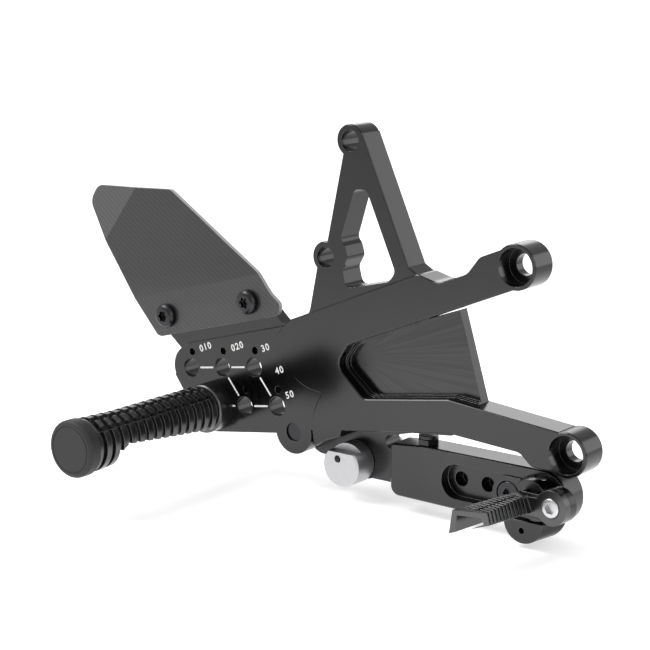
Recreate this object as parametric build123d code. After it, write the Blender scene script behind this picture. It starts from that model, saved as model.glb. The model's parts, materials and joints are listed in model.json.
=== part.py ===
from build123d import *
import math
import os

os.makedirs("parts", exist_ok=True)

# Frame: millimetres, X forward along the bike, Y inward to the bike, Z up.
# Outlines are drawn from a drawing datum. Every piece is moved at the end so
# that the origin is the upper frame bolt on the seat face of its boss.

# Frame bolts and their bosses
upper_bolt = (-3.5, -0.5)
lower_bolt = (20.4, -69.9)
bolt_hole_d = 8.5
counterbore_d = 15.0
counterbore_depth = 8.0
boss_wall = 1.5
boss_d = counterbore_d + 2 * boss_wall

# Thickness levels of the billet, all back faces on the seat plane
plate_t = 12.5
field_t = 9.0
tab_t = 6.0
carrier_t = 11.0
carrier_back = 1.0
ledge_t = 7.5
stop_ledge_t = 6.0
web_t = 5.0
web_back = 0.5
edge_break = 0.4

# Upper arm, drawn in its own direction from the upper boss
arm_angle = 22.5
arm_top = 11.0
arm_neck = 4.5
arm_end_top = 9.0
arm_bottom = 7.0

# Footpeg position grid
grid_start = (-170.0, -64.0)
grid_angle = 8.5
grid_pitch = 18.0
grid_row = 17.0
grid_shift = 10.2
peg_hole_d = 8.4
pin_hole_d = 3.2
pin_offset = (0.6, 7.3)
field_end_r = 10.0
field_low_r = 11.0

# Master cylinder carrier
cylinder_bolt_low = (-94.5, -6.5)
cylinder_bolt_pcd = 50.0
cylinder_bolt_lean = 14.2
cylinder_bolt_d = 8.5
cylinder_boss_r = 6.6

# Lobe with its screw
lobe = (-112.9, -83.8)
lobe_r = 9.5
lobe_screw_d = 8.0
lobe_screw_sink = 0.8
lobe_head_d = 12.0
lobe_head_h = 3.0

# Heel guard
guard_t = 2.0
guard_screw_low = (-184.8, -42.6)
guard_screw_high = (-138.0, -30.8)
guard_screw_d = 6.0
guard_head_d = 10.5
guard_head_h = 3.2
tab_r = 7.0
guard_tilt = 0.14
guard_corner_tilt = 0.12

# Footpeg
peg_axis_index = 0
peg_length = 88.0
peg_collar_r = 10.75
peg_collar_l = 8.0
peg_core_r = 9.0
peg_rib_start = 2.2
peg_rib_end = 2.2
peg_neck_l = 2.4
peg_rib_w = 2.6
peg_rib_count = 14
peg_rib_r = 10.6
peg_flare = 0.7
peg_flat_start = 7.4
peg_flat_end = 0.6
peg_flat_stop = 12.5
knob_d = 23.8
knob_l = 5.5
peg_bolt_d = 8.0

# Brake lever
pivot = (-74.0, -69.5)
pivot_shoulder_d = 12.0
pivot_bush_wall = 1.0
pivot_bush_d = pivot_shoulder_d + 2 * pivot_bush_wall
pivot_thread_d = 8.0
pivot_thread_l = 9.0
pivot_eye_r = 11.0
running_gap = 0.02
side_gap = 0.3
washer_t = 1.0
arm_t = 10.0
bar_front = -8.0
bar_t = 12.0
bar_left = -63.5
bar_right = 19.5
bar_top = -79.0
bar_bottom = -102.5
toe_row_z = -91.0
toe_hole_first = -32.0
toe_hole_pitch = 12.5
toe_hole_d = 6.04
toe_hole_floor = 1.5
recess_h = 14.5
recess_depth = 5.0
recess_last = 10.8

# Pushrod trunnion
trunnion = (-87.0, -94.0)
trunnion_d = 18.0
trunnion_front = -10.5
trunnion_neck_d = 12.0
trunnion_boss_r = 8.8
lever_ear = (-104.5, -86.3)
lever_ear_r = 8.0
arm_low = -100.4
trunnion_rod_d = 6.0
clip_t = 1.2
clip_groove_d = 9.6
clip_d = 18.0

# Folding toe piece
hinge = (8.5, -10.0)
hinge_pin_d = 5.0
pin_length = 23.0
pin_middle = -93.0
barrel_r = 5.0
toe_sweep = 5.0
slot_top = -84.7
slot_low = -98.0
eye_offset = 13.0
eye_r = 6.9
eye_z = -88.1
arm_face = -8.5
pad_middle = -1.0
pad_top = -85.3
pad_bottom = -93.8
pad_length = 37.5
pad_wall = 2.0
pad_rise = 4.2
pad_rib_count = 11
pad_rib_pitch = 2.3


# Shared drawing helpers
def slab(sketch, y_out, y_in):
    plane = Plane.XZ.offset(-y_in)
    return extrude(plane * sketch, y_in - y_out)


def rod_y(x, z, d, y_out, y_in):
    return slab(Pos(x, z) * Circle(d / 2), y_out, y_in)


def hex_y(x, z, across, y_out, y_in):
    shape = Pos(x, z) * RegularPolygon(across / 2, 6, major_radius=False)
    return slab(shape, y_out, y_in)


def tangent_points(before, corner, after, radius):
    ax, az = before[0] - corner[0], before[1] - corner[1]
    bx, bz = after[0] - corner[0], after[1] - corner[1]
    la, lb = math.hypot(ax, az), math.hypot(bx, bz)
    ax, az, bx, bz = ax / la, az / la, bx / lb, bz / lb
    half = math.acos(max(-1.0, min(1.0, ax * bx + az * bz))) / 2
    reach = radius / math.tan(half)
    mx, mz = ax + bx, az + bz
    lm = math.hypot(mx, mz)
    to_mid = radius / math.sin(half) - radius
    first = (corner[0] + ax * reach, corner[1] + az * reach)
    middle = (corner[0] + mx / lm * to_mid, corner[1] + mz / lm * to_mid)
    last = (corner[0] + bx * reach, corner[1] + bz * reach)
    return first, middle, last


def rounded(corners):
    # Closed outline from (x, z, radius) corners; radius 0 keeps a sharp corner.
    pieces = []
    count = len(corners)
    joints = []
    for i in range(count):
        x, z, radius = corners[i]
        if radius > 0:
            spot = tangent_points(corners[i - 1], (x, z), corners[(i + 1) % count], radius)
            joints.append(spot)
        else:
            joints.append(((x, z), None, (x, z)))
    for i in range(count):
        first, middle, last = joints[i]
        if middle is not None:
            pieces.append(ThreePointArc(first, middle, last))
        start_next = joints[(i + 1) % count][0]
        if math.dist(last, start_next) > 1e-6:
            pieces.append(Line(last, start_next))
    return make_face(Curve() + pieces)


def along_arm(s, t):
    a = math.radians(arm_angle)
    return (s * math.cos(a) - t * math.sin(a), s * math.sin(a) + t * math.cos(a))


def grid_point(column, row):
    # Row 0 is the upper row; row 1 lies below it, shifted by about half a pitch.
    a = math.radians(grid_angle)
    s = column * grid_pitch + row * grid_shift
    t = -row * grid_row
    x = grid_start[0] + s * math.cos(a) - t * math.sin(a)
    z = grid_start[1] + s * math.sin(a) + t * math.cos(a)
    return (x, z)


def peg_spots():
    spots = [grid_point(c, 0) for c in range(3)]
    spots += [grid_point(c, 1) for c in range(3)]
    return spots


def cylinder_bolt_high():
    a = math.radians(cylinder_bolt_lean)
    x = cylinder_bolt_low[0] + cylinder_bolt_pcd * math.sin(a)
    z = cylinder_bolt_low[1] + cylinder_bolt_pcd * math.cos(a)
    return (x, z)


# Main bracket, one billet
def body_outline():
    corners = [
        (*along_arm(0, arm_end_top), 0),
        (*along_arm(-17.5, arm_end_top), 5),
        (*along_arm(-25.5, arm_neck), 6),
        (*along_arm(-39.5, arm_neck + 0.4), 9),
        (*along_arm(-47.5, arm_top), 4),
        (*along_arm(-118, arm_top), 8),
        (-122.5, -46.0, 0),
        (-110.0, -66.0, 0),
        (-98.5, -66.0, 0),
        (-104.0, -84.0, 0),
        (-101.8, -89.0, 0),
        (-94.0, -83.6, 4),
        (-86.0, -80.8, 0),
        (-85.4, -78.0, 0),
        (-33.0, -70.2, 6),
        (0.0, -72.4, 5),
        (5.5, -77.2, 4),
        (14.5, -77.4, 0),
        (lower_bolt[0], lower_bolt[1], 0),
        (17.0, -61.4, 0),
        (-33.0, -56.6, 4),
        (-74.0, -62.8, 5),
        (-88.0, -50.5, 5),
        (-82.0, -41.2, 5),
        (*along_arm(-14, -arm_bottom), 0),
        (*along_arm(0, -arm_bottom), 0),
    ]
    return rounded(corners)


def front_limit():
    # The raised body ends on the left in two outward arcs.
    upper = Pos(-96, -39.5) * Circle(24)
    lower = Pos(-77.5, -78.5) * Circle(23)
    rest = Pos(-36, -40) * Rectangle(120, 160)
    return upper + lower + rest


def field_outline():
    a = math.radians(grid_angle)
    first = grid_point(0, 0)
    low = grid_point(0, 1)
    last = grid_point(2, 1)
    shape = Pos(*first) * Circle(field_end_r)
    shape += Pos(*low) * Circle(field_low_r + 0.6)
    down = field_low_r + 0.6
    low_x = low[0] + down * math.sin(a)
    low_z = low[1] - down * math.cos(a)
    end_x = last[0] + down * math.sin(a)
    end_z = last[1] - down * math.cos(a)
    left = (first[0] - field_end_r * math.cos(a), first[1] - field_end_r * math.sin(a))
    block = Polyline(
        (first[0] - 3.5, first[1] + field_end_r + 0.2),
        (-118.0, -38.6),
        (-96.0, -36.0),
        (-92.0, -78.0),
        (end_x + 6, end_z + 0.9),
        (low_x, low_z),
        (low[0] - 8.2, low[1] - 8.2),
        (left[0] + 0.3, left[1] - 3),
        close=True,
    )
    shape += make_face(block)
    shape += Pos(*lobe) * Circle(lobe_r)
    return shape


def tab_outline():
    low = guard_screw_low
    high = guard_screw_high
    shape = Pos(*low) * Circle(tab_r)
    shape += Pos(*high) * Circle(tab_r)
    block = Polyline(
        (low[0] - 1.7, low[1] + 6.8),
        (high[0] - 1.7, high[1] + 6.8),
        (high[0] + 6.8, high[1] + 1.8),
        (-121.0, -38.0),
        (-112.0, -36.4),
        (-100.0, -45.0),
        (-120.0, -60.0),
        (-172.0, -62.0),
        (low[0] - 4.0, low[1] - 5.8),
        close=True,
    )
    return shape + make_face(block)


def carrier_outline():
    low = cylinder_bolt_low
    high = cylinder_bolt_high()
    lean = math.radians(cylinder_bolt_lean)
    legs = rounded([
        (high[0] - 1.9, high[1] + 2, 0),
        (high[0] + 6.0, high[1] + 3.4, 0),
        (-53.4, -6.1, 0),
        (-46.0, -10.5, 6),
        (-40.0, -18.0, 0),
        (-60.0, -30.0, 0),
        (-104.0, -44.0, 0),
        (-118.0, -39.5, 0),
        (-103.5, -32.8, 9),
        (low[0] - 4.2, low[1] - 3.0, 0),
        (low[0] + 0.6, low[1] + 6, 0),
    ])
    shape = legs + Pos(*low) * Circle(cylinder_boss_r)
    shape += Pos(*high) * Circle(cylinder_boss_r)
    return shape


def carrier_window():
    return rounded([
        (-79.9, 22.8, 2.9),
        (-73.9, 22.8, 2.9),
        (-59.6, -9.0, 3.4),
        (-63.0, -13.2, 3.4),
        (-84.0, -18.2, 3.0),
        (-86.0, -10.5, 3),
        (-83.2, -5.6, 3),
        (-84.6, -1.0, 3),
        (-86.6, 1.5, 3),
    ])


def pocket_outline(inset):
    return rounded([
        (-8.0 - inset, -12.0, 0),
        (-82.0 + inset * 0.6, -41.5 - inset, 5),
        (-88.0 + inset, -50.5, 5),
        (-74.0 + inset * 0.5, -62.8 + inset, 5),
        (-33.0, -56.6 + inset, 4),
        (-8.0, -59.0 + inset, 0),
    ])


def web_blank():
    corners = [
        (-90.0, -38.0, 0),
        (-90.0, -66.0, 0),
        (-18.5, -66.0, 0),
        (-22.0, -56.0, 0),
        (-32.6, -21.0, 0),
        (-34.0, -12.0, 0),
    ]
    return rounded(corners)


def main_bracket():
    front = body_outline() & front_limit()
    front += Pos(*upper_bolt) * Circle(boss_d / 2)
    front += Pos(*lower_bolt) * Circle(boss_d / 2)
    body = slab(front, -plate_t, 0)
    outer = body.faces().sort_by(Axis.Y)[0].outer_wire().edges()
    body = chamfer(outer, edge_break)
    field = slab(field_outline(), -field_t, 0)
    tab = slab(tab_outline(), -tab_t, 0)
    carrier = slab(carrier_outline() - carrier_window(), -carrier_t, carrier_back)
    carrier_rim = carrier.faces().sort_by(Axis.Y)[0].outer_wire().edges()
    carrier = chamfer(carrier_rim, edge_break)
    hollow = slab(pocket_outline(0) & web_blank(), -plate_t, 0)
    carrier -= hollow
    web = slab(web_blank() & pocket_outline(-1.5), -web_t - web_back, -web_back)
    step = slab((web_blank() & pocket_outline(-1.5)) - pocket_outline(0.8), -ledge_t, -web_back)
    ledge = [(-84, -76, 0), (-82, -79.4, 1), (-65, -77.8, 2), (-54, -75, 2), (-35, -73, 1), (-30, -68, 0)]
    stop_ledge = slab(rounded(ledge), -stop_ledge_t, 0)
    part = body + field + tab + carrier + web + step + stop_ledge
    for x, z in [upper_bolt, lower_bolt]:
        part -= rod_y(x, z, bolt_hole_d, -plate_t - 1, 1)
        part -= rod_y(x, z, counterbore_d, -plate_t - 1, -plate_t + counterbore_depth)
    for x, z in [cylinder_bolt_low, cylinder_bolt_high()]:
        part -= rod_y(x, z, cylinder_bolt_d, -carrier_t - 1, 1)
    for x, z in peg_spots():
        part -= rod_y(x, z, peg_hole_d, -field_t - 1, 1)
        part -= rod_y(x + pin_offset[0], z + pin_offset[1], pin_hole_d, -field_t - 1, 1)
    for x, z in [guard_screw_low, guard_screw_high]:
        part -= rod_y(x, z, guard_screw_d + 2 * running_gap, -tab_t - 1, 1)
    part -= rod_y(*lobe, lobe_screw_d + 2 * running_gap, -field_t - 1, 1)
    part -= rod_y(*lobe, lobe_head_d + 2 * running_gap, -lobe_head_h, 1)
    part -= rod_y(*pivot, pivot_thread_d + 2 * running_gap, -pivot_thread_l - 0.5, 1)
    return part


def lobe_screw():
    screw = rod_y(*lobe, lobe_screw_d, -field_t + lobe_screw_sink, 0)
    head = rod_y(*lobe, lobe_head_d, -lobe_head_h, 0)
    socket = hex_y(*lobe, 5.0, -lobe_head_h, 1)
    return screw + head - socket


# Heel guard with its two folds
def guard_outline():
    return rounded([
        (-190.0, -53.0, 4),
        (-122.0, -34.9, 3),
        (-120.6, -30.0, 3),
        (-126.4, -25.6, 8),
        (-133.0, -17.6, 5),
        (-187.5, 12.7, 4),
        (-235.5, 10.4, 5),
        (-239.6, 3.0, 5),
        (-225.0, -14.2, 20),
    ])


def guard_panel(zone, slope_x, slope_z, at_x, at_z):
    # A flat panel whose depth changes by the two slopes away from one point.
    front = -tab_t - guard_t
    corners = []
    for x, z in [(-260, -90), (-90, -90), (-90, 50), (-260, 50)]:
        y = front + (x - at_x) * slope_x + (z - at_z) * slope_z
        corners.append((x, y, z))
    sheet = extrude(make_face(Polyline(*corners, close=True)), guard_t, dir=(0, 1, 0))
    return sheet & slab(guard_outline() & make_face(zone), -60, 60)


def heel_guard():
    lean = math.tan(math.radians(15))
    bend = (-133.0, -18.2)
    bend_left = (-240.0, bend[1] - (240.0 + bend[0]) * lean)
    bend_right = (-100.0, bend[1] - (bend[0] + 100.0) * lean)
    fold_top = (-196.7, 30.0)
    fold_low = (-238.1, -32.0)
    low_zone = Polyline((-240, -80), (-100, -80), bend_right, bend_left, close=True)
    low = guard_panel(low_zone, 0, 0, *bend)
    up_zone = Polyline(bend_right, (-100, 40), fold_top, fold_low, bend_left, close=True)
    slope_z = guard_tilt
    slope_x = -guard_tilt * lean
    up = guard_panel(up_zone, slope_x, slope_z, *bend)
    turn = math.atan2(fold_top[1] - fold_low[1], fold_top[0] - fold_low[0])
    nx, nz = -math.sin(turn), math.cos(turn)
    corner_x = slope_x + guard_corner_tilt * nx
    corner_z = slope_z + guard_corner_tilt * nz
    rise = (fold_top[0] - bend[0]) * slope_x + (fold_top[1] - bend[1]) * slope_z
    corner_zone = Polyline(fold_top, (-250, 40), (-250, -31.9), fold_low, close=True)
    at_x = fold_top[0]
    at_z = fold_top[1]
    corner = guard_panel(corner_zone, corner_x, corner_z, at_x, at_z)
    corner = Pos(0, rise, 0) * corner
    part = low + up + corner
    for x, z in [guard_screw_low, guard_screw_high]:
        part -= rod_y(x, z, guard_screw_d + 0.4, -30, 1)
    return part


def lobed_socket(x, z, size, y_out, y_in):
    shape = Pos(x, z) * Circle(size * 0.38)
    for i in range(6):
        a = math.radians(60 * i)
        shape += Pos(x + size * 0.36 * math.cos(a), z + size * 0.36 * math.sin(a)) * Circle(size * 0.14)
    return slab(shape, y_out, y_in)


def guard_screws():
    group = []
    seat = -tab_t - guard_t
    for x, z in [guard_screw_low, guard_screw_high]:
        head = rod_y(x, z, guard_head_d, seat - guard_head_h, seat)
        rim = head.edges().filter_by(GeomType.CIRCLE).sort_by(Axis.Y)[0]
        head = fillet(rim, 2.2)
        screw = head + rod_y(x, z, guard_screw_d, seat, -0.5)
        screw -= lobed_socket(x, z, 5.2, seat - guard_head_h - 1, seat - guard_head_h + 2.2)
        group.append(screw)
    return group[0] + group[1]


# Footpeg, its axis square to the plate
def peg_point():
    return grid_point(peg_axis_index, 1)


def peg_ring(radius, y_out, y_in):
    x, z = peg_point()
    return rod_y(x, z, 2 * radius, y_out, y_in)


def peg_rib_radius(i):
    # The last ribs widen towards the knob.
    share = i / (peg_rib_count - 1)
    return peg_rib_r + peg_flare * max(0.0, share - 0.75) / 0.25


def peg_pitch():
    # The ribs share the length between the collar and the neck of the knob.
    used = peg_collar_l + peg_rib_start + peg_rib_end + peg_neck_l + knob_l + peg_rib_w
    return (peg_length - used) / (peg_rib_count - 1)


def peg_underside():
    # The underside is cut away, deeper towards the knob, and ends in a curve.
    z = peg_point()[1]
    begin = -field_t - peg_collar_l
    stop = -field_t - peg_length + knob_l + peg_flat_stop
    side = rounded([
        (begin, z - knob_d, 0),
        (begin, z - peg_flat_start, 0),
        (stop + 2.0, z - peg_flat_end, 5),
        (stop - 2.0, z - knob_d, 0),
    ])
    return extrude(Plane.YZ.offset(peg_point()[0] - knob_d) * side, 2 * knob_d)


def footpeg():
    x, z = peg_point()
    root = -field_t
    end = root - peg_length + knob_l
    part = peg_ring(peg_collar_r, root - peg_collar_l, root)
    rim = part.edges().filter_by(GeomType.CIRCLE).sort_by(Axis.Y)[0]
    part = fillet(rim, 1.2)
    part += peg_ring(peg_core_r, end, root)
    first = root - peg_collar_l - peg_rib_start
    pitch = peg_pitch()
    for i in range(peg_rib_count):
        y = first - i * pitch
        part += peg_ring(peg_rib_radius(i), y - peg_rib_w, y)
    part += peg_ring(knob_d / 2 - 0.8, end, end + peg_neck_l)
    groove_len = peg_length - peg_collar_l - knob_l - peg_neck_l - 1.0
    wedge = Polyline((peg_core_r - 0.4, 0), (13.5, 2.9), (13.5, -2.9), close=True)
    for i in range(4):
        angle = 45 + 30 * i
        cut = slab(Rot(0, 0, angle) * make_face(wedge), -groove_len, 0)
        part -= Pos(x, root - peg_collar_l - 0.5, z) * cut
    part -= peg_underside()
    part -= rod_y(x, z, peg_bolt_d + 2 * running_gap, root - 22, root + 1)
    px, pz = x + pin_offset[0], z + pin_offset[1]
    part -= rod_y(px, pz, pin_hole_d - 0.2 + 2 * running_gap, root - 5.1, root + 1)
    part -= rod_y(x, z, 6.0, end - 1, end + 8)
    return part


def peg_knob():
    x, z = peg_point()
    inner = -field_t - peg_length + knob_l
    outer = inner - knob_l
    knob = rod_y(x, z, knob_d, outer, inner)
    rim = knob.edges().filter_by(GeomType.CIRCLE).sort_by(Axis.Y)[0]
    knob = fillet(rim, 1.8)
    ring_d = knob_d - 4.4
    ring = rod_y(x, z, ring_d, outer - 1, outer + 0.25) - rod_y(x, z, ring_d - 0.8, outer - 1, outer + 0.25)
    spigot = rod_y(x, z, 6.0 - 2 * running_gap, inner, inner + 7)
    return knob - ring + spigot


def peg_bolt():
    x, z = peg_point()
    washer_top = 1.6
    bolt = rod_y(x, z, peg_bolt_d, -field_t - 20, washer_top)
    head = rod_y(x, z, 13.0, washer_top, washer_top + 8)
    rim = head.edges().filter_by(GeomType.CIRCLE).sort_by(Axis.Y)[-1]
    head = chamfer(rim, 0.8)
    return bolt + head - hex_y(x, z, 6.0, washer_top + 3.5, washer_top + 9)


def peg_washer():
    x, z = peg_point()
    return rod_y(x, z, 16.0, 0, 1.6) - rod_y(x, z, peg_hole_d, -1, 2)


def peg_index_pin():
    x, z = peg_point()
    return rod_y(x + pin_offset[0], z + pin_offset[1], pin_hole_d - 0.2, -field_t - 5, -0.5)


# Lever pivot
def pivot_bolt():
    shoulder_end = washer_t + arm_t + 2 * side_gap
    bolt = rod_y(*pivot, pivot_thread_d, -pivot_thread_l, 0)
    bolt += rod_y(*pivot, pivot_shoulder_d, 0, shoulder_end)
    head = rod_y(*pivot, 18.0, shoulder_end, shoulder_end + 4.5)
    rim = head.edges().filter_by(GeomType.CIRCLE).sort_by(Axis.Y)[-1]
    head = fillet(rim, 1.5)
    return bolt + head - hex_y(*pivot, 6.0, shoulder_end + 1.6, shoulder_end + 6)


def pivot_washer():
    ring = rod_y(*pivot, 20.0, 0, washer_t)
    return ring - rod_y(*pivot, pivot_shoulder_d + 2 * running_gap, -1, washer_t + 1)


def pivot_bushing():
    start = washer_t + side_gap
    ring = rod_y(*pivot, pivot_bush_d, start, start + arm_t)
    return ring - rod_y(*pivot, pivot_shoulder_d + 2 * running_gap, 0, start + arm_t + 1)


# Brake lever
def toe_holes():
    return [(toe_hole_first + toe_hole_pitch * i, toe_row_z) for i in range(3)]


def long_hole(x_first, x_last, z, radius):
    shape = Pos(x_first, z) * Circle(radius) + Pos(x_last, z) * Circle(radius)
    return shape + Pos((x_first + x_last) / 2, z) * Rectangle(x_last - x_first, 2 * radius)


def lever_arm_outline():
    # Pivot eye, trunnion eye and a short ear, joined behind the bar's left end.
    px, pz = pivot
    tx, tz = trunnion
    ex, ez = lever_ear
    shape = Pos(px, pz) * Circle(pivot_eye_r)
    shape += Pos(tx, tz) * Circle(trunnion_boss_r)
    shape += Pos(ex, ez) * Circle(lever_ear_r)
    block = rounded([
        (px - pivot_eye_r * 0.64, pz + pivot_eye_r * 0.77, 0),
        (ex - lever_ear_r * 0.5, ez + lever_ear_r * 0.87, 0),
        (ex + 1.0, ez - lever_ear_r, 0),
        (tx - trunnion_boss_r, tz, 0),
        (tx + 1.0, arm_low - 2.2, 0),
        (tx + 8.0, arm_low, 3),
        (bar_left + 12.0, arm_low, 3),
        (bar_left + 12.0, arm_low + 14.5, 3),
        (tx + 8.0, arm_low + 14.5, 3),
        (px + pivot_eye_r * 0.76, pz - pivot_eye_r * 0.64, 0),
    ])
    return shape + block


def brake_lever():
    end_r = (bar_top - bar_bottom) / 2
    bar_shape = rounded([
        (-48.0, bar_top, 20),
        (bar_left, bar_top - 1.5, 1.5),
        (bar_left, bar_bottom + 0.4, 4),
        (-32.0, bar_bottom, 40),
        (bar_right, bar_bottom, end_r - 0.2),
        (bar_right, bar_top, end_r - 0.2),
    ])
    bar = slab(bar_shape, bar_front, bar_front + bar_t)
    front_rim = bar.faces().sort_by(Axis.Y)[0].outer_wire().edges()
    bar = chamfer(front_rim, 0.6)
    start = washer_t + side_gap
    arm = slab(lever_arm_outline(), start, start + arm_t)
    lever = bar + arm
    middle = bar_front + recess_depth
    lever -= slab(long_hole(-31.25, recess_last, toe_row_z, recess_h / 2), bar_front - 1, middle)
    for x, z in toe_holes():
        lever -= rod_y(x, z, toe_hole_d, bar_front, bar_front + bar_t - toe_hole_floor)
    lever -= rod_y(*pivot, pivot_bush_d, 0, start + arm_t + 1)
    lever -= rod_y(*trunnion, trunnion_neck_d + 2 * running_gap, 0, start + arm_t + 1)
    x, y = stop_place()
    lever -= Pos(x, y, bar_top - 4) * Cylinder(2.5 + running_gap, 10.4)
    slot_h = slot_top - slot_low
    lever -= Pos(*hinge, slot_low + slot_h / 2) * Cylinder(barrel_r + 0.5, slot_h)
    lever -= Pos(*hinge, pin_middle) * Cylinder(hinge_pin_d / 2 + side_gap, pin_length + 1)
    return lever


# Stop screw between lever and bracket
def stop_place():
    return (-48.0, -3.05)


def stop_screw():
    x, y = stop_place()
    shank = Pos(x, y, bar_top - 3.0) * Cylinder(2.5, 11.0)
    head = Pos(x, y, bar_top + 3.1) * Cylinder(4.0, 1.3)
    return shank + head


def stop_locknut():
    x, y = stop_place()
    shape = RegularPolygon(4.0, 6, major_radius=False) - Circle(2.5 + running_gap)
    return Pos(x, y, bar_top) * extrude(shape, 2.2)


# Pushrod trunnion and its clip
def clip_start():
    return washer_t + side_gap + arm_t + side_gap


def pushrod_trunnion():
    start = washer_t
    back = clip_start()
    end = back + clip_t + 16
    part = rod_y(*trunnion, trunnion_d, trunnion_front, start)
    rim = part.edges().filter_by(GeomType.CIRCLE).sort_by(Axis.Y)[0]
    part = chamfer(rim, 0.6)
    tail = rod_y(*trunnion, trunnion_neck_d, start, end)
    rim = tail.edges().filter_by(GeomType.CIRCLE).sort_by(Axis.Y)[-1]
    part += chamfer(rim, 0.8)
    groove = rod_y(*trunnion, trunnion_d, back, back + clip_t)
    part -= groove - rod_y(*trunnion, clip_groove_d, back, back + clip_t)
    x, z = trunnion
    part -= Pos(x, trunnion_front + 2.4, z + trunnion_d / 2) * Box(trunnion_d, 5.2, 6.4)
    part -= rod_y(x - 1.6, z + 3.0, 3.2, trunnion_front - 1, trunnion_front + 5)
    part -= Pos(x, back + clip_t + 9, z) * Cylinder(trunnion_rod_d / 2, 30)
    return part


def trunnion_clip():
    # An open ring that is pushed into the groove from below.
    x, z = trunnion
    back = clip_start()
    ring = Pos(x, z) * Circle(clip_d / 2) - Pos(x, z) * Circle(clip_groove_d / 2)
    mouth = Pos(x, z - clip_d / 2) * Rectangle(clip_groove_d * 0.82, clip_d)
    return slab(ring - mouth, back, back + clip_t)


# Folding toe piece
def toe_carrier():
    foot_r = recess_h / 2 - 0.25
    middle = bar_front + recess_depth
    first = toe_holes()[-1]
    foot = slab(long_hole(first[0], recess_last, toe_row_z, foot_r), bar_front - 0.5, middle)
    wide = Plane.XZ.offset(-bar_front) * (Pos(7.0, -93.5) * Circle(12.5))
    low = Plane.XZ.offset(-bar_front + 8.0) * (Pos(4.5, -98.5) * Circle(8.5))
    high = Plane.XZ.offset(-bar_front + 8.0) * (Pos(7.0, -87.5) * Circle(6.5))
    part = foot + loft([wide, low]) + loft([wide, high])
    slot_mid = (slot_top + slot_low) / 2
    slot_h = slot_top - slot_low
    part -= Pos(0, bar_front - 0.5 - 15, slot_mid) * Box(60, 30, slot_h)
    floor = hinge[1] + barrel_r + 0.4
    part -= Pos(1.5 + 15, floor - 15, slot_mid) * Box(30, 30, slot_h)
    part -= Pos(*hinge, -92.5) * Cylinder(hinge_pin_d / 2 + running_gap, 24.2)
    part -= Pos(*hinge, -80) * Cylinder(hinge_pin_d / 2 + running_gap, 8)
    part -= rod_y(*first, 6.4, -20, middle + 1)
    part -= rod_y(*first, 10.4, -20, bar_front - 0.5 + 3.2)
    part -= rod_y(4.0, -102.0, 2.5, -20, -13)
    return part


def toe_carrier_screw():
    x, z = toe_holes()[-1]
    seat = bar_front - 0.5 + 3.2
    head = rod_y(x, z, 10.0, seat - 3.2, seat)
    rim = head.edges().filter_by(GeomType.CIRCLE).sort_by(Axis.Y)[0]
    head = chamfer(rim, 0.5)
    shank = rod_y(x, z, 6.0, seat, bar_front + bar_t - toe_hole_floor - 0.3)
    return head + shank - hex_y(x, z, 4.0, seat - 4, seat - 1.2)


def toe_hinge_pin():
    return Pos(*hinge, pin_middle) * Cylinder(hinge_pin_d / 2, pin_length)


def toe_place(shape):
    return Pos(*hinge, 0) * Rot(0, 0, -toe_sweep) * shape


def toe_bush():
    top = slot_top - side_gap
    ring = Pos(0, 0, top - 1.3) * Cylinder(4.0, 2.6)
    return toe_place(ring - Pos(0, 0, top) * Cylinder(hinge_pin_d / 2 + running_gap, 8))


def toe_arm():
    barrel_top = slot_top - side_gap - 2.6
    barrel_low = slot_low + side_gap
    barrel_h = barrel_top - barrel_low
    arm = Pos(0, 0, barrel_low + barrel_h / 2) * Cylinder(barrel_r, barrel_h)
    arm += Pos(1.25, -2.5, -92.0) * Box(9.5, 5.0, 8.0)
    bridge = rounded([
        (-3.5, -95.4, 1),
        (-3.5, -85.2, 1),
        (eye_offset - 5, -85.2, 0),
        (eye_offset, eye_z + 3, 0),
        (eye_offset, eye_z - eye_r + 0.1, 0),
        (3.0, -95.4, 3),
    ])
    arm += slab(bridge + Pos(eye_offset, eye_z) * Circle(eye_r), arm_face, -4.3)
    arm -= Pos(0, 0, -93) * Cylinder(hinge_pin_d / 2 + running_gap, 20)
    arm -= rod_y(eye_offset, eye_z, 5 + 2 * running_gap, arm_face - 1, 0)
    return toe_place(arm)


def pad_profile(share, inset):
    # The pad widens from its root (share 0) to its tip (share 1), and its
    # left wall hangs lower than its right wall.
    top_left = 2.6 + 4.6 * share - inset * (1 - 0.3 * share)
    top_right = 2.6 + 2.7 * share - inset * (1 - 0.3 * share)
    low_left = 5.4 + 2.8 * share - inset
    low_right = 5.4 + 0.7 * share - inset
    x = pad_middle
    return make_face(Polyline(
        (x - low_left, pad_bottom - 0.8 * share),
        (x - top_left, pad_top - inset),
        (x + top_right, pad_top - inset),
        (x + low_right, pad_bottom + pad_rise * (0.5 + 0.5 * share)),
        close=True,
    ))


def pad_block(start, length, inset, drop):
    # One lofted stretch of the pad; drop lets a cutter run out below it.
    begin = (arm_face - start) / pad_length
    finish = begin + length / pad_length
    first = Plane.XZ.offset(-start) * pad_profile(begin, inset)
    last = Plane.XZ.offset(-start + length) * pad_profile(finish, inset)
    block = loft([first, last])
    if drop > 0:
        half = 5.4 + 0.7 * begin - inset
        y_mid = start - length / 2
        block += Pos(pad_middle, y_mid, pad_bottom - drop / 2) * Box(2 * half, length, drop)
    return block


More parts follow.
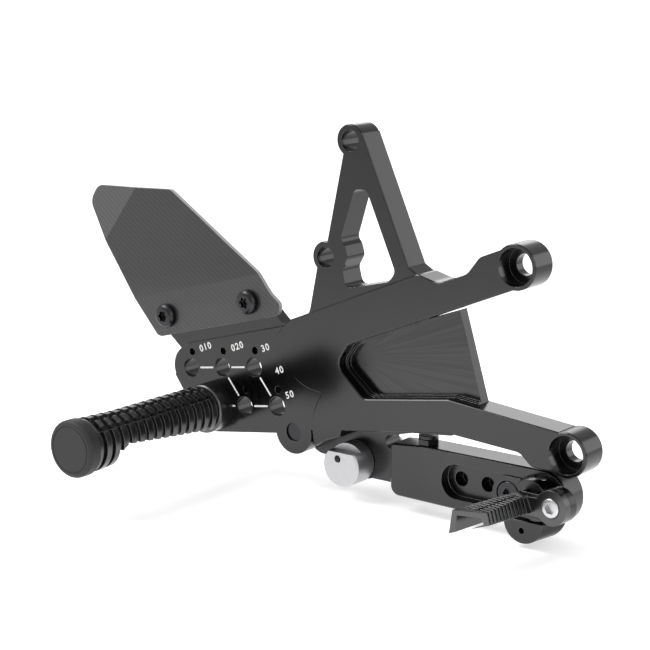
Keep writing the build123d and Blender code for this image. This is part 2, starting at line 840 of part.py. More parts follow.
def toe_pad():
    root = arm_face
    part = pad_block(root, pad_length, 0, 0)
    ear = Pos(eye_offset, eye_z) * Circle(eye_r)
    bridge = Polyline(
        (0, pad_bottom + 1),
        (0, pad_top - 0.6),
        (eye_offset - 3, eye_z + 3),
        (eye_offset - 3, eye_z - 4.6),
        close=True,
    )
    part += slab(ear + make_face(bridge), root - 3.2, root)
    for i in range(pad_rib_count):
        y = root - 6.0 - i * pad_rib_pitch
        ring = pad_block(y, 1.1, -0.2, 0) - pad_block(y, 1.1, 0.8, 3)
        part -= ring
    row_len = pad_rib_pitch * pad_rib_count
    part -= Pos(pad_middle, root - 5.4 - row_len / 2, pad_top) * Box(0.9, row_len, 1.6)
    part -= pad_block(root - 4.5, pad_length, pad_wall, 3)
    tip = root - pad_length
    cut = Polyline((-12, tip), (14, tip + 11), (14, tip - 4), (-12, tip - 4), close=True)
    part -= Pos(0, 0, -100) * extrude(make_face(cut), 30)
    part -= rod_y(eye_offset, eye_z, 8.0, root - 12, root - 1.4)
    part -= rod_y(eye_offset, eye_z, 5.4, root - 5, root + 1)
    return toe_place(part)


def toe_pad_bolt():
    seat = arm_face - 1.4
    head = rod_y(eye_offset, eye_z, 7.6, seat - 2.4, seat)
    rim = head.edges().filter_by(GeomType.CIRCLE).sort_by(Axis.Y)[0]
    head = fillet(rim, 0.6)
    bolt = head + rod_y(eye_offset, eye_z, 5.0, seat, -4.5)
    return toe_place(bolt - hex_y(eye_offset, eye_z, 4.0, seat - 4, seat - 0.8))


# Hand-in: one file per piece, moved from the drawing datum to the origin
nodes = {
    "main_bracket": main_bracket(),
    "lobe_screw": lobe_screw(),
    "heel_guard": heel_guard(),
    "heel_guard_screws": guard_screws(),
    "footpeg": footpeg(),
    "footpeg_knob": peg_knob(),
    "footpeg_bolt": peg_bolt(),
    "footpeg_washer": peg_washer(),
    "footpeg_index_pin": peg_index_pin(),
    "lever_pivot_bolt": pivot_bolt(),
    "lever_thrust_washer": pivot_washer(),
    "lever_bushing": pivot_bushing(),
    "brake_lever": brake_lever(),
    "stop_screw": stop_screw(),
    "stop_locknut": stop_locknut(),
    "toe_carrier": toe_carrier(),
    "toe_carrier_screw": toe_carrier_screw(),
    "toe_hinge_pin": toe_hinge_pin(),
    "pushrod_trunnion": pushrod_trunnion(),
    "trunnion_clip": trunnion_clip(),
    "toe_arm": toe_arm(),
    "toe_bush": toe_bush(),
    "toe_pad": toe_pad(),
    "toe_pad_bolt": toe_pad_bolt(),
}
to_origin = Pos(-upper_bolt[0], 0, -upper_bolt[1])
for name, shape in nodes.items():
    placed = to_origin * shape
    print(name, len(placed.solids()), round(placed.volume, 1))
    export_step(placed, f"parts/{name}.step")
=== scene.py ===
import json
import math

import bmesh
import bpy
from mathutils import Matrix, Vector


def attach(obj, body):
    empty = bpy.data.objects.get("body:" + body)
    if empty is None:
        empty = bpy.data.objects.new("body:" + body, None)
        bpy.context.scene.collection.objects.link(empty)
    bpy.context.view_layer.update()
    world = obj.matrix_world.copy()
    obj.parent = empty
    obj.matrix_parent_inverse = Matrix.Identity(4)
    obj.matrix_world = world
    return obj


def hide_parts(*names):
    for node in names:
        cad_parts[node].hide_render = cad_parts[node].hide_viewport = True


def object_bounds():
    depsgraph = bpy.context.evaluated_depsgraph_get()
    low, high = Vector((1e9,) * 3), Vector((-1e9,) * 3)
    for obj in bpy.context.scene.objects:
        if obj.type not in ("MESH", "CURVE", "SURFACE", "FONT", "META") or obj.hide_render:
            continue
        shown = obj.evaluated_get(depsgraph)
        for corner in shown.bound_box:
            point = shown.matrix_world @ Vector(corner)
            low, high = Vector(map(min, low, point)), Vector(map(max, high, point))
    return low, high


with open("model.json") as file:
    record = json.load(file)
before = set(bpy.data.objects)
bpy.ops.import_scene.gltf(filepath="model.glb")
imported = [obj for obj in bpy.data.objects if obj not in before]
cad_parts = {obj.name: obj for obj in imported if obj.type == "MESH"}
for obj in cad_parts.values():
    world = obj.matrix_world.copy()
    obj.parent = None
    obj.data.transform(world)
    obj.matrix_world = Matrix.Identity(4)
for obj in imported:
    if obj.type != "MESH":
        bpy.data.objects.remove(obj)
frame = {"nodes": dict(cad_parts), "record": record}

cad_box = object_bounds()
nodes = frame["nodes"]
mm = 0.001

# Places on the part, in metres; a pair is X and Z
web_face = -0.0055
field_face = -0.009
corner_fold_x = -0.19
fan_centre = (-0.080, -0.047)
trunnion_axis = (-0.0835, -0.0935)
first_hole = Vector((-0.1665, -0.0635))

# Rows of peg holes, in millimetres
hole_pitch = 18.0
row_shift = 10.2
row_drop = 17.0
row_angle = math.radians(8.5)
along_row = Vector((math.cos(row_angle), math.sin(row_angle)))
up_row = Vector((-math.sin(row_angle), math.cos(row_angle)))


def peg_hole(column, row):
    sideways = along_row * (hole_pitch * column + row_shift * row) * mm
    return first_hole + sideways - up_row * (row_drop * row) * mm


# Shader helpers
def add(tree, kind, **values):
    made = tree.nodes.new(kind)
    for key, value in values.items():
        setattr(made, key, value)
    return made


def join(tree, source, target):
    tree.links.new(source, target)


def feed(tree, value, socket):
    # A number is set on the socket; anything else is another node's output.
    if isinstance(value, (int, float)):
        socket.default_value = value
    else:
        join(tree, value, socket)


def calc(tree, operation, *values):
    made = add(tree, "ShaderNodeMath", operation=operation)
    for place, value in enumerate(values):
        feed(tree, value, made.inputs[place])
    return made.outputs[0]


def remap(tree, value, low, high, to_low=0.0, to_high=1.0):
    made = add(tree, "ShaderNodeMapRange", clamp=True)
    join(tree, value, made.inputs["Value"])
    made.inputs["From Min"].default_value = low
    made.inputs["From Max"].default_value = high
    made.inputs["To Min"].default_value = to_low
    made.inputs["To Max"].default_value = to_high
    return made.outputs["Result"]


def noise(tree, vector, scale, detail):
    made = add(tree, "ShaderNodeTexNoise")
    join(tree, vector, made.inputs["Vector"])
    feed(tree, scale, made.inputs["Scale"])
    made.inputs["Detail"].default_value = detail
    return made.outputs["Fac"]


def blend_value(tree, mask, first, second):
    made = add(tree, "ShaderNodeMix", data_type="FLOAT")
    join(tree, mask, made.inputs["Factor"])
    feed(tree, first, made.inputs["A"])
    feed(tree, second, made.inputs["B"])
    return made.outputs["Result"]


def colours_of(sockets):
    return [socket for socket in sockets if socket.type == "RGBA"]


def blend_colour(tree, mask, first, second, way="MIX"):
    # A colour is three numbers or another node's output.
    made = add(tree, "ShaderNodeMix", data_type="RGBA", blend_type=way)
    for value, socket in zip((first, second), colours_of(made.inputs)):
        if isinstance(value, tuple):
            socket.default_value = (*value, 1.0)
        else:
            join(tree, value, socket)
    feed(tree, mask, made.inputs["Factor"])
    return colours_of(made.outputs)[0]


def object_xyz(tree, output="Object"):
    # X, Y and Z of the object's own coordinates, or of its normal.
    place = add(tree, "ShaderNodeTexCoord")
    split = add(tree, "ShaderNodeSeparateXYZ")
    join(tree, place.outputs[output], split.inputs[0])
    return split.outputs


def off_centre(tree, spot, start):
    # Sideways and upward distance from the centre that a group is given.
    across = calc(tree, "SUBTRACT", spot["X"], start.outputs["Centre X"])
    up = calc(tree, "SUBTRACT", spot["Z"], start.outputs["Centre Z"])
    return across, up


def length_of(tree, across, up):
    squares = calc(tree, "ADD", calc(tree, "MULTIPLY", across, across), calc(tree, "MULTIPLY", up, up))
    return calc(tree, "SQRT", squares)


def new_group(name, inputs, outputs):
    tree = bpy.data.node_groups.new(name, "ShaderNodeTree")
    for label in inputs:
        tree.interface.new_socket(label, in_out="INPUT", socket_type="NodeSocketFloat")
    for label in outputs:
        kind = "NodeSocketVector" if label == "Normal" else "NodeSocketFloat"
        tree.interface.new_socket(label, in_out="OUTPUT", socket_type=kind)
    start = add(tree, "NodeGroupInput")
    end = add(tree, "NodeGroupOutput")
    return tree, start, end


def use(tree, group, **values):
    # Places a group; an underscore in a value's name is a space in its socket's.
    made = add(tree, "ShaderNodeGroup", node_tree=group)
    for label, value in values.items():
        feed(tree, value, made.inputs[label.replace("_", " ")])
    return made


# Shared surface effects
def make_edge_group():
    # Rounded edges for the light, and a mask of where they are rubbed, in patches.
    edge_begins = 0.985
    edge_full = 0.80
    patch_begins = 0.42
    patch_full = 0.62
    tree, start, end = new_group("rubbed_edges", ["Width", "Patches"], ["Mask", "Normal"])
    round_edge = add(tree, "ShaderNodeBevel", samples=8)
    join(tree, start.outputs["Width"], round_edge.inputs["Radius"])
    flat = add(tree, "ShaderNodeNewGeometry")
    turn = add(tree, "ShaderNodeVectorMath", operation="DOT_PRODUCT")
    join(tree, round_edge.outputs["Normal"], turn.inputs[0])
    join(tree, flat.outputs["Normal"], turn.inputs[1])
    edge = remap(tree, turn.outputs["Value"], edge_begins, edge_full)
    place = add(tree, "ShaderNodeTexCoord")
    patch = noise(tree, place.outputs["Object"], start.outputs["Patches"], detail=4.0)
    broken = remap(tree, patch, patch_begins, patch_full)
    join(tree, calc(tree, "MULTIPLY", edge, broken), end.inputs["Mask"])
    join(tree, round_edge.outputs["Normal"], end.inputs["Normal"])
    return tree


def make_grain_group():
    # Fine blasted grain, and a cloudy change of the size that each finish sets.
    tree, start, end = new_group("blasted_grain", ["Scale", "Cloud"], ["Height", "Cloud"])
    place = add(tree, "ShaderNodeTexCoord")
    fine = noise(tree, place.outputs["Object"], start.outputs["Scale"], detail=3.0)
    slow = noise(tree, place.outputs["Object"], start.outputs["Cloud"], detail=5.0)
    join(tree, fine, end.inputs["Height"])
    join(tree, slow, end.inputs["Cloud"])
    return tree


def make_twill_group():
    # Two-and-two twill: each tow passes over two and under two, a step further each row.
    # The tows are counted from far off, so that no count is below nought.
    count_from = 4000.0
    tows_in_repeat = 4.0
    over_below = 1.5
    tow_arc = 2.8
    tree, start, end = new_group("twill_weave", ["Pitch", "Lean"], ["Warp", "Height"])
    spot = object_xyz(tree)
    x, z = spot["X"], spot["Z"]
    cosine = calc(tree, "COSINE", start.outputs["Lean"])
    sine = calc(tree, "SINE", start.outputs["Lean"])
    along = calc(tree, "ADD", calc(tree, "MULTIPLY", x, cosine), calc(tree, "MULTIPLY", z, sine))
    across = calc(tree, "SUBTRACT", calc(tree, "MULTIPLY", z, cosine), calc(tree, "MULTIPLY", x, sine))
    whole = []
    crown = []
    for distance in (along, across):
        tows = calc(tree, "ADD", calc(tree, "DIVIDE", distance, start.outputs["Pitch"]), count_from)
        whole.append(calc(tree, "FLOOR", tows))
        from_middle = calc(tree, "SUBTRACT", calc(tree, "FRACT", tows), 0.5)
        crown.append(calc(tree, "COSINE", calc(tree, "MULTIPLY", from_middle, tow_arc)))
    step = calc(tree, "MODULO", calc(tree, "ADD", *whole), tows_in_repeat)
    warp = calc(tree, "LESS_THAN", step, over_below)
    join(tree, warp, end.inputs["Warp"])
    join(tree, blend_value(tree, warp, crown[1], crown[0]), end.inputs["Height"])
    return tree


def make_ring_group():
    # Turning marks: fine rings round an axis that runs along Y.
    tree, start, end = new_group("turned_rings", ["Centre X", "Centre Z", "Pitch"], ["Height"])
    spot = object_xyz(tree)
    radius = length_of(tree, *off_centre(tree, spot, start))
    reach = calc(tree, "ADD", radius, spot["Y"])
    rings = calc(tree, "DIVIDE", reach, start.outputs["Pitch"])
    wave = calc(tree, "SINE", calc(tree, "MULTIPLY", rings, math.tau))
    join(tree, calc(tree, "MULTIPLY_ADD", wave, 0.5, 0.5), end.inputs["Height"])
    return tree


def make_fan_group():
    # Long milling streaks that fan out from one point, at uneven angles.
    change_along = 14.0
    tree, start, end = new_group("milled_fan", ["Centre X", "Centre Z", "Count"], ["Streak"])
    across, up = off_centre(tree, object_xyz(tree), start)
    turn = calc(tree, "ARCTAN2", up, across)
    spot = add(tree, "ShaderNodeCombineXYZ")
    join(tree, calc(tree, "MULTIPLY", turn, start.outputs["Count"]), spot.inputs["X"])
    join(tree, calc(tree, "MULTIPLY", length_of(tree, across, up), change_along), spot.inputs["Y"])
    join(tree, noise(tree, spot.outputs[0], scale=1.0, detail=4.0), end.inputs["Streak"])
    return tree


rubbed_edges = make_edge_group()
blasted_grain = make_grain_group()
twill_weave = make_twill_group()
turned_rings = make_ring_group()
milled_fan = make_fan_group()


# What the finishes have in common. Most of a noise's values lie in its range.
noise_range = (0.3, 0.7)
coat_roughness = 0.1


def new_finish(name, metallic, specular=0.5, coat=0.0):
    finish = bpy.data.materials.new(name)
    finish.use_nodes = True
    tree = finish.node_tree
    shader = tree.nodes["Principled BSDF"]
    shader.inputs["Metallic"].default_value = metallic
    shader.inputs["Specular IOR Level"].default_value = specular
    shader.inputs["Coat Weight"].default_value = coat
    shader.inputs["Coat Roughness"].default_value = coat_roughness
    return finish, tree, shader


def cloudy_roughness(tree, shader, surface, low, high):
    rough = remap(tree, surface.outputs["Cloud"], *noise_range, low, high)
    join(tree, rough, shader.inputs["Roughness"])


def rub_edges(tree, shader, edges, colour, bare, wear):
    # The base colour, with the bare one showing where the edges are rubbed.
    rubbed = calc(tree, "MULTIPLY", edges.outputs["Mask"], wear)
    join(tree, blend_colour(tree, rubbed, colour, bare), shader.inputs["Base Color"])


def set_bump(tree, shader, height, normal, distance):
    bump = add(tree, "ShaderNodeBump")
    bump.inputs["Strength"].default_value = 1.0
    bump.inputs["Distance"].default_value = distance
    join(tree, height, bump.inputs["Height"])
    if normal is not None:
        join(tree, normal, bump.inputs["Normal"])
    join(tree, bump.outputs["Normal"], shader.inputs["Normal"])


# Finishes
def metal_finish(name, base, bare, rough, grain=0.000004, edge=0.0004, wear=0.5, scale=2600.0):
    # Blasted and anodised or blackened metal, paler where its edges are rubbed.
    cloud_dark = 0.86
    cloud_pale = 1.14
    smoothest = 0.85
    roughest = 1.18
    finish, tree, shader = new_finish(name, metallic=1.0)
    edges = use(tree, rubbed_edges, Width=edge, Patches=90.0)
    surface = use(tree, blasted_grain, Scale=scale, Cloud=24.0)
    darker = tuple(channel * cloud_dark for channel in base)
    paler = tuple(channel * cloud_pale for channel in base)
    tone = blend_colour(tree, surface.outputs["Cloud"], darker, paler)
    rub_edges(tree, shader, edges, tone, bare, wear)
    cloudy_roughness(tree, shader, surface, rough * smoothest, rough * roughest)
    set_bump(tree, shader, surface.outputs["Height"], edges.outputs["Normal"], distance=grain)
    return finish


def web_mask(tree):
    # One on front faces at the web's depth, nought elsewhere.
    off_plane = 0.0004
    on_plane = 0.0002
    turned_away = -0.93
    square_on = -0.98
    distance = calc(tree, "ABSOLUTE", calc(tree, "SUBTRACT", object_xyz(tree)["Y"], web_face))
    near = remap(tree, distance, off_plane, on_plane)
    facing = remap(tree, object_xyz(tree, "Normal")["Y"], turned_away, square_on)
    return calc(tree, "MULTIPLY", near, facing)


def bracket_finish():
    # Satin black all over; the recessed web also has its milling streaks.
    dark = (0.040, 0.040, 0.041)
    cloud_pale = (0.049, 0.049, 0.050)
    streak_pale = (0.054, 0.054, 0.055)
    bare = (0.30, 0.30, 0.31)
    grain_share = 0.05
    streak_share = 0.25
    finish, tree, shader = new_finish("satin_black_bracket", metallic=1.0)
    edges = use(tree, rubbed_edges, Width=0.0003, Patches=70.0)
    surface = use(tree, blasted_grain, Scale=2400.0, Cloud=18.0)
    fan = use(tree, milled_fan, Centre_X=fan_centre[0], Centre_Z=fan_centre[1], Count=34.0)
    on_web = web_mask(tree)
    tone = blend_colour(tree, surface.outputs["Cloud"], dark, cloud_pale)
    streak_mask = remap(tree, fan.outputs["Streak"], *noise_range)
    streak_tone = blend_colour(tree, streak_mask, dark, streak_pale)
    rub_edges(tree, shader, edges, blend_colour(tree, on_web, tone, streak_tone), bare, wear=0.35)
    cloudy_roughness(tree, shader, surface, low=0.14, high=0.19)
    grain = calc(tree, "MULTIPLY", surface.outputs["Height"], grain_share)
    web_streaks = calc(tree, "MULTIPLY", fan.outputs["Streak"], on_web)
    height = calc(tree, "ADD", grain, calc(tree, "MULTIPLY", web_streaks, streak_share))
    set_bump(tree, shader, height, edges.outputs["Normal"], distance=0.00004)
    return finish


def cut_edge(tree):
    # A mask of the sheet's cut edge, and its pale tone, a painted sheen with the plies as fine lines.
    flat_side = 0.6
    sideways = 0.4
    ply_turns = 16000.0
    # Painted sheen: the cut edge's pale tones, between which the ply lines run.
    sheen_ply_dark = (0.20, 0.20, 0.21)
    sheen_ply_pale = (0.34, 0.34, 0.35)
    facing = calc(tree, "ABSOLUTE", object_xyz(tree, "Normal")["Y"])
    wave = calc(tree, "SINE", calc(tree, "MULTIPLY", object_xyz(tree)["Y"], ply_turns))
    ply_lines_and_sheen = blend_colour(tree, remap(tree, wave, -1.0, 1.0), sheen_ply_dark, sheen_ply_pale)
    return remap(tree, facing, flat_side, sideways), ply_lines_and_sheen


def twill_finish():
    # Lacquered woven sheet, worn pale along its rim; painted shade on the tows, painted sheen on the
    # cut edge.
    weft_tone = (0.014, 0.014, 0.015)
    warp_tone = (0.024, 0.024, 0.025)
    bare = (0.46, 0.46, 0.47)
    weft_rough = 0.5
    warp_rough = 0.38
    tow_side = 0.2
    # Painted shade: the share of a tow's tone left where it turns down at its sides.
    painted_shade_between_tows = 0.55
    grain_share = 0.1
    finish, tree, shader = new_finish("lacquered_twill", metallic=0.0, specular=0.4, coat=0.5)
    weave = use(tree, twill_weave, Pitch=0.00064, Lean=0.26)
    edges = use(tree, rubbed_edges, Width=0.0006, Patches=25.0)
    surface = use(tree, blasted_grain, Scale=1500.0, Cloud=30.0)
    tows = blend_colour(tree, weave.outputs["Warp"], weft_tone, warp_tone)
    # Painted shade: each tow is darker towards its sides, where it curves away.
    painted_tow_shade = remap(tree, weave.outputs["Height"], tow_side, 1.0, painted_shade_between_tows, 1.0)
    woven = blend_colour(tree, 1.0, tows, painted_tow_shade, way="MULTIPLY")
    # The cut edge is painted pale, a painted sheen, with fine ply lines.
    cut, ply_lines_and_sheen = cut_edge(tree)
    rub_edges(tree, shader, edges, blend_colour(tree, cut, woven, ply_lines_and_sheen), bare, wear=0.8)
    rough = remap(tree, weave.outputs["Warp"], 0.0, 1.0, weft_rough, warp_rough)
    join(tree, rough, shader.inputs["Roughness"])
    grain = calc(tree, "MULTIPLY", surface.outputs["Height"], grain_share)
    height = calc(tree, "ADD", weave.outputs["Height"], grain)
    set_bump(tree, shader, height, edges.outputs["Normal"], distance=0.00003)
    return finish


def knob_finish():
    # Matt end knob with rings round the peg's axis.
    dark = (0.021, 0.021, 0.022)
    pale = (0.031, 0.031, 0.032)
    ring_share = 0.5
    centre = peg_hole(0, 1)
    finish, tree, shader = new_finish("matt_knob", metallic=0.0, specular=0.26)
    rings = use(tree, turned_rings, Centre_X=centre.x, Centre_Z=centre.y, Pitch=0.0004)
    surface = use(tree, blasted_grain, Scale=1800.0, Cloud=60.0)
    edges = use(tree, rubbed_edges, Width=0.0004, Patches=120.0)
    tone = blend_colour(tree, surface.outputs["Cloud"], dark, pale)
    join(tree, tone, shader.inputs["Base Color"])
    cloudy_roughness(tree, shader, surface, low=0.46, high=0.58)
    turning = calc(tree, "MULTIPLY", rings.outputs["Height"], ring_share)
    height = calc(tree, "ADD", turning, surface.outputs["Height"])
    set_bump(tree, shader, height, edges.outputs["Normal"], distance=0.00001)
    return finish


def trunnion_finish():
    # Bright turned metal with rings round its own axis and a fine dull speckle.
    dull = (0.432, 0.432, 0.441)
    bright = (0.48, 0.48, 0.49)
    speckle_begins = 0.36
    speckle_full = 0.60
    grain_share = 0.4
    centre_x, centre_z = trunnion_axis
    finish, tree, shader = new_finish("bright_trunnion", metallic=1.0)
    rings = use(tree, turned_rings, Centre_X=centre_x, Centre_Z=centre_z, Pitch=0.00022)
    surface = use(tree, blasted_grain, Scale=2200.0, Cloud=1100.0)
    edges = use(tree, rubbed_edges, Width=0.0003, Patches=150.0)
    speckle = remap(tree, surface.outputs["Cloud"], speckle_begins, speckle_full)
    join(tree, blend_colour(tree, speckle, dull, bright), shader.inputs["Base Color"])
    cloudy_roughness(tree, shader, surface, low=0.384, high=0.60)
    grain = calc(tree, "MULTIPLY", surface.outputs["Height"], grain_share)
    height = calc(tree, "ADD", rings.outputs["Height"], grain)
    set_bump(tree, shader, height, edges.outputs["Normal"], distance=0.000006)
    return finish


def fill_finish():
    # White filling of the lines and numbers.
    grey_white = (0.70, 0.70, 0.69)
    clean_white = (0.86, 0.86, 0.85)
    finish, tree, shader = new_finish("white_fill", metallic=0.0, specular=0.3)
    surface = use(tree, blasted_grain, Scale=2600.0, Cloud=300.0)
    tone = blend_colour(tree, surface.outputs["Cloud"], grey_white, clean_white)
    join(tree, tone, shader.inputs["Base Color"])
    cloudy_roughness(tree, shader, surface, low=0.5, high=0.7)
    set_bump(tree, shader, surface.outputs["Height"], None, distance=0.000004)
    return finish


satin_black = metal_finish(
    "satin_black", base=(0.048, 0.048, 0.049), bare=(0.30, 0.30, 0.31), rough=0.24,
    grain=0.000002, wear=0.35,
)
gloss_black = metal_finish(
    "gloss_black_peg", base=(0.090, 0.090, 0.091), bare=(0.24, 0.24, 0.25), rough=0.32,
    wear=0.15, scale=1800.0,
)
tread_black = metal_finish(
    "satin_black_tread", base=(0.085, 0.085, 0.086), bare=(0.34, 0.34, 0.35), rough=0.30, edge=0.0003
)
black_oxide = metal_finish(
    "black_oxide", base=(0.040, 0.040, 0.042), bare=(0.35, 0.35, 0.36), rough=0.30, edge=0.00025
)
bearing_bronze = metal_finish(
    "bearing_bronze", base=(0.55, 0.38, 0.20), bare=(0.70, 0.52, 0.30), rough=0.35, wear=0.3
)
plain_steel = metal_finish(
    "plain_steel", base=(0.50, 0.50, 0.51), bare=(0.68, 0.68, 0.68), rough=0.32, edge=0.0002, wear=0.3
)
white_fill = fill_finish()

# The finish of each material slot, and of the pieces that have one of their own
finish_of = {
    "anodised_black": satin_black,
    "peg_black": gloss_black,
    "knob_black": knob_finish(),
    "carbon_twill": twill_finish(),
    "black_screw": black_oxide,
    "plain_steel": plain_steel,
    "bush_bronze": bearing_bronze,
    "bright_trunnion": trunnion_finish(),
}
own_finish = {"main_bracket": bracket_finish(), "toe_pad": tread_black}
slot_of = {part["node"]: part["material_slot"] for part in frame["record"]["subparts"]}
bodies = frame["record"]["behaviour"]["bodies"]


# Pieces
def add_object(name, data):
    made = bpy.data.objects.new(name, data)
    bpy.context.scene.collection.objects.link(made)
    return made


def add_piece(name, work):
    # The piece that a bmesh has built up.
    mesh = bpy.data.meshes.new(name)
    work.to_mesh(mesh)
    work.free()
    return add_object(name, mesh)


def dress(piece, finish):
    piece.data.materials.clear()
    piece.data.materials.append(finish)


def body_of(name):
    return next(body for body, members in bodies.items() if name in members)


# Each solid is dressed as one clean skin: its flats are whole faces, its round
# walls are shaded round, and the light breaks on its edges. The guard's long fold
# is rolled and the small one in its corner is crisp. Angles are in degrees.
round_below = 32.0
crisp_below = 5.0
flat_below = 0.2
same_place = 0.000002
flat_weight = 80


def clean_skin(name, finish, crisp_left_of=None):
    work = bmesh.new()
    work.from_mesh(nodes[name].data)
    bmesh.ops.remove_doubles(work, verts=work.verts, dist=same_place)
    bmesh.ops.dissolve_limit(
        work,
        angle_limit=math.radians(flat_below),
        use_dissolve_boundaries=False,
        verts=work.verts,
        edges=work.edges,
    )
    for face in work.faces:
        face.smooth = True
    for edge in work.edges:
        if len(edge.link_faces) != 2:
            edge.smooth = False
            continue
        right_end = max(vert.co.x for vert in edge.verts)
        crisp = crisp_left_of is not None and right_end <= crisp_left_of
        limit = crisp_below if crisp else round_below
        edge.smooth = edge.calc_face_angle() <= math.radians(limit)
    piece = add_piece(name + "_skin", work)
    even = piece.modifiers.new("even_flats", "WEIGHTED_NORMAL")
    even.keep_sharp = True
    even.weight = flat_weight
    dress(piece, finish)
    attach(piece, body_of(name))
    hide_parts(name)


for name in list(nodes):
    finish = own_finish.get(name, finish_of[slot_of[name]])
    clean_skin(name, finish, crisp_left_of=corner_fold_x if name == "heel_guard" else None)


# White lines and numbers on the footpeg field: thin inlays, a hair proud of it
mark_proud = 0.00002
mark_depth = 0.00006
line_width = 0.8 * mm
number_height = 2.9 * mm
size_over_height = 1.4
number_bold = 0.00009
number_spacing = 1.22
number_lean = math.radians(22.5)
upright = Matrix.Rotation(math.pi / 2, 4, "X")


def finish_mark(piece):
    dress(piece, white_fill)
    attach(piece, "bracket")


def line_mark(name, first, last, trim_first=5.6, trim_last=5.6):
    # A thin bar with round ends from one hole to the next. It stops short of both
    # hole centres by the trims, which are in millimetres.
    way = (last - first).normalized()
    begin = first + way * trim_first * mm
    end = last - way * trim_last * mm
    work = bmesh.new()
    made = bmesh.ops.create_circle(work, cap_ends=True, segments=16, radius=line_width / 2)
    length = (end - begin).length
    for vert in made["verts"]:
        if vert.co.x > 0:
            vert.co.x += length
    turned = Matrix.Rotation(math.atan2(way.y, way.x), 4, "Z")
    bmesh.ops.transform(work, verts=work.verts, matrix=turned)
    bmesh.ops.transform(work, verts=work.verts, matrix=upright)
    bmesh.ops.translate(work, verts=work.verts, vec=(begin.x, field_face - mark_proud, begin.y))
    raised = bmesh.ops.extrude_face_region(work, geom=work.faces[:])
    moved = [part for part in raised["geom"] if isinstance(part, bmesh.types.BMVert)]
    bmesh.ops.translate(work, verts=moved, vec=(0, mark_depth, 0))
    bmesh.ops.recalc_face_normals(work, faces=work.faces)
    finish_mark(add_piece(name, work))


def number_mark(name, digits, corner):
    # A plain number, made into a mesh lying flat and then stood up on the field.
    curve = bpy.data.curves.new(name + "_digits", "FONT")
    curve.body = digits
    curve.size = number_height * size_over_height
    curve.offset = number_bold
    curve.space_character = number_spacing
    curve.extrude = mark_depth / 2
    flat = add_object(name + "_digits", curve)
    bpy.context.view_layer.update()
    ready = flat.evaluated_get(bpy.context.evaluated_depsgraph_get())
    mesh = bpy.data.meshes.new_from_object(ready)
    bpy.data.objects.remove(flat)
    on_field = Matrix.Translation((corner[0] * mm, field_face, corner[1] * mm))
    mesh.transform(on_field @ upright @ Matrix.Rotation(number_lean, 4, "Z"))
    mesh.name = name
    finish_mark(add_object(name, mesh))


# Peg holes that a line joins, as column and row
hole_pairs = [
    ((0, 0), (1, 0)),
    ((1, 0), (2, 0)),
    ((1, 0), (1, 1)),
    ((2, 0), (2, 1)),
    ((1, 1), (2, 1)),
]
for count, (one, two) in enumerate(hole_pairs, 1):
    line_mark(f"hole_line_{count}", peg_hole(*one), peg_hole(*two))
line_mark("hole_line_6", peg_hole(0, 1), peg_hole(1, 1), trim_first=11.0, trim_last=5.9)

# Each number and its lower left corner, X and Z in millimetres
numbers = [
    ("010", (-161.0, -55.6)),
    ("020", (-142.9, -52.9)),
    ("30", (-126.2, -50.9)),
    ("40", (-118.6, -59.6)),
    ("50", (-113.1, -69.4)),
]
for count, (digits, corner) in enumerate(numbers, 1):
    number_mark(f"hole_number_{count}", digits, corner)


# Studio
floor_gap = 0.002
floor_reach = 60.0
floor_white = 0.88
floor_roughness = 0.9
floor_glow = 0.42
pool_glow = 0.92
pool_begins = 0.08
pool_ends = 0.5
pool_place = (-0.05, -0.15)
room_light = 0.72
backdrop_white = 1.0
part_middle = (-0.084, -0.02, -0.032)
camera_place = (0.3486, -0.5885, 0.1215)
camera_way = Vector((-0.6012, 0.7895, -0.2129))

# Name, place, point aimed at, size and watts
lamps = [
    ("key_lamp", (-1.1, -0.5, 1.25), part_middle, (1.2, 0.7), 22),
    ("fill_lamp", (1.2, -0.6, 0.5), part_middle, (0.7, 0.9), 4),
    ("side_lamp", (-1.52, -0.75, 0.12), (-0.22, 0, 0), (0.5, 1.0), 1.9),
    ("rim_lamp", (0.95, 1.42, 0.22), part_middle, (0.9, 1.2), 5.5),
    ("back_lamp", (-1.0, 1.5, 0.55), part_middle, (1.8, 0.6), 5),
]


def look_along(thing, way):
    thing.rotation_euler = way.to_track_quat("-Z", "Y").to_euler()


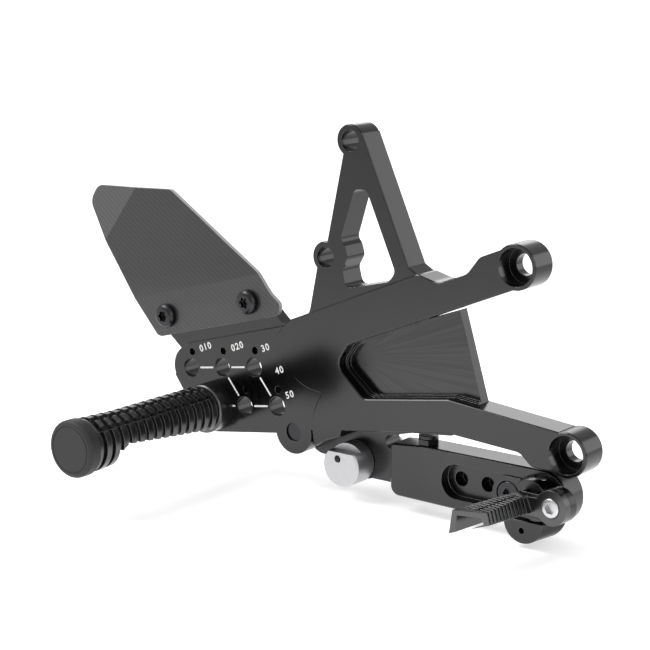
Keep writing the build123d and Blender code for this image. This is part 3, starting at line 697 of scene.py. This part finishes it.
def make_floor(height):
    # Gloss sees a pool of light in front of the part; the camera sees an even floor.
    work = bmesh.new()
    bmesh.ops.create_grid(work, x_segments=1, y_segments=1, size=floor_reach)
    bmesh.ops.translate(work, verts=work.verts, vec=(0, 0, height))
    floor = add_piece("floor", work)
    finish, tree, shader = new_finish("pale_floor", metallic=0.0, specular=0.0)
    shader.inputs["Base Color"].default_value = (floor_white, floor_white, floor_white, 1)
    shader.inputs["Roughness"].default_value = floor_roughness
    shader.inputs["Emission Color"].default_value = (1, 1, 1, 1)
    place = add(tree, "ShaderNodeTexCoord")
    away = add(tree, "ShaderNodeVectorMath", operation="DISTANCE")
    join(tree, place.outputs["Object"], away.inputs[0])
    away.inputs[1].default_value = (*pool_place, height)
    pool = remap(tree, away.outputs["Value"], pool_begins, pool_ends, pool_glow, 0.0)
    path = add(tree, "ShaderNodeLightPath")
    mirrored = calc(tree, "MULTIPLY", path.outputs["Is Glossy Ray"], pool)
    glow = calc(tree, "MULTIPLY_ADD", path.outputs["Is Camera Ray"], floor_glow, mirrored)
    join(tree, glow, shader.inputs["Emission Strength"])
    dress(floor, finish)


def make_lamp(name, place, aim, size, watts):
    light = bpy.data.lights.new(name, "AREA")
    light.shape = "RECTANGLE"
    light.size, light.size_y = size
    light.energy = watts
    lamp = add_object(name, light)
    lamp.location = place
    look_along(lamp, Vector(aim) - Vector(place))


def make_world():
    # An even pale room, which the camera sees as white.
    world = bpy.data.worlds.new("pale_room")
    bpy.context.scene.world = world
    world.use_nodes = True
    tree = world.node_tree
    sky = tree.nodes["Background"]
    sky.inputs["Color"].default_value = (1, 1, 1, 1)
    path = add(tree, "ShaderNodeLightPath")
    seen = calc(tree, "MAXIMUM", path.outputs["Is Camera Ray"], path.outputs["Is Transmission Ray"])
    join(tree, blend_value(tree, seen, room_light, backdrop_white), sky.inputs["Strength"])


def make_camera():
    lens = bpy.data.cameras.new("camera")
    lens.lens = 100.0
    lens.sensor_width = 36.0
    lens.clip_start = 0.01
    camera = add_object("camera", lens)
    camera.location = camera_place
    look_along(camera, camera_way)
    bpy.context.scene.camera = camera


make_camera()
make_world()
make_floor(cad_box[0].z - floor_gap)
for lamp in lamps:
    make_lamp(*lamp)
bpy.context.scene.view_settings.view_transform = "Standard"
